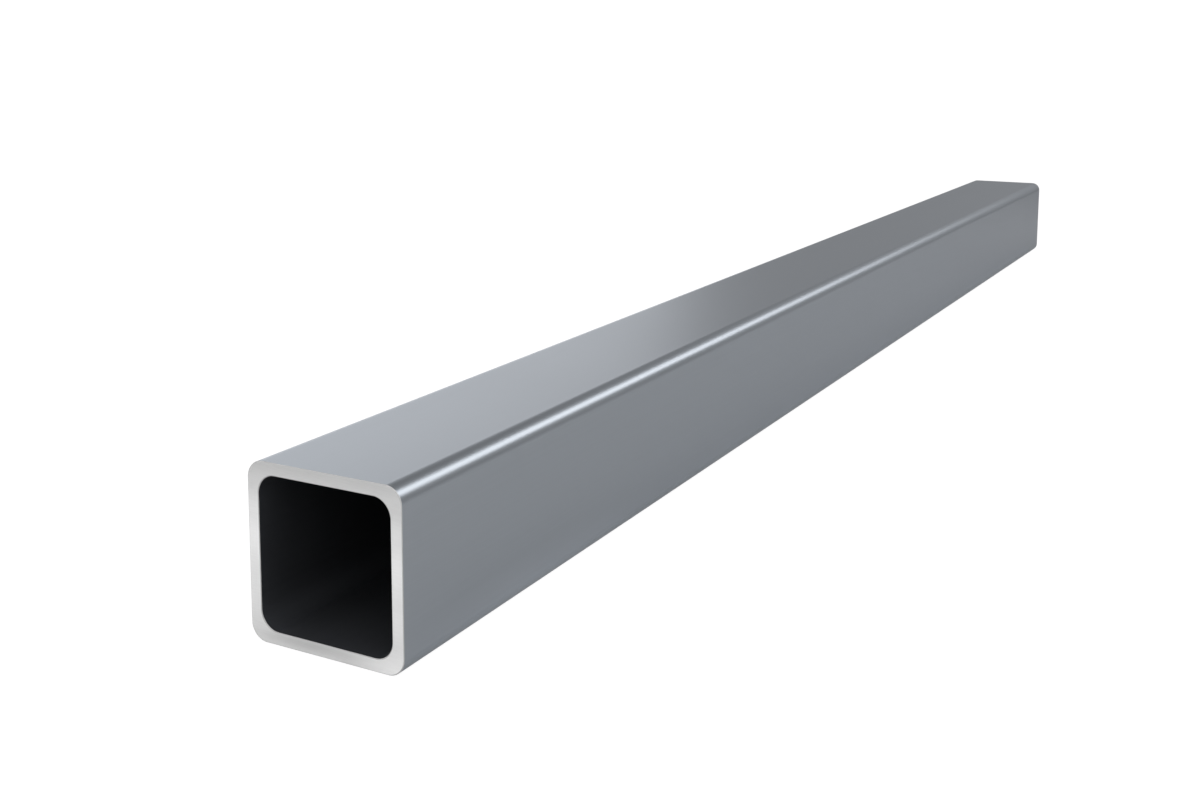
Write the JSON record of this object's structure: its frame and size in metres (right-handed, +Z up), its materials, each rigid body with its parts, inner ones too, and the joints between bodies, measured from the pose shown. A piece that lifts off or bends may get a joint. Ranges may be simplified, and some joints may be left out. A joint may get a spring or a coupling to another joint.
{
  "type": "square stainless steel tube",
  "caption": "Length of rectangular stainless steel tube of square section, with round long corners, a clear bore and sawn open ends, for frames, posts, rails and legs.",
  "frame": {"origin": "middle of the bottom face, halfway along the tube, on the surface that it lies on", "axes": "+X along the tube, from the end that faces the picture's view (-X) to the far end; the long side that shows is the -Y one; +Z up, out of the top face"},
  "size_m": [1.12, 0.07, 0.07],
  "materials": {
    "stainless_steel": "satin drawn skin with fine lengthwise grain, paler matte sawn ends, dull dark bore"
  },
  "bodies": {
    "root": {"tube": "stainless_steel"}
  },
  "joints": []
}
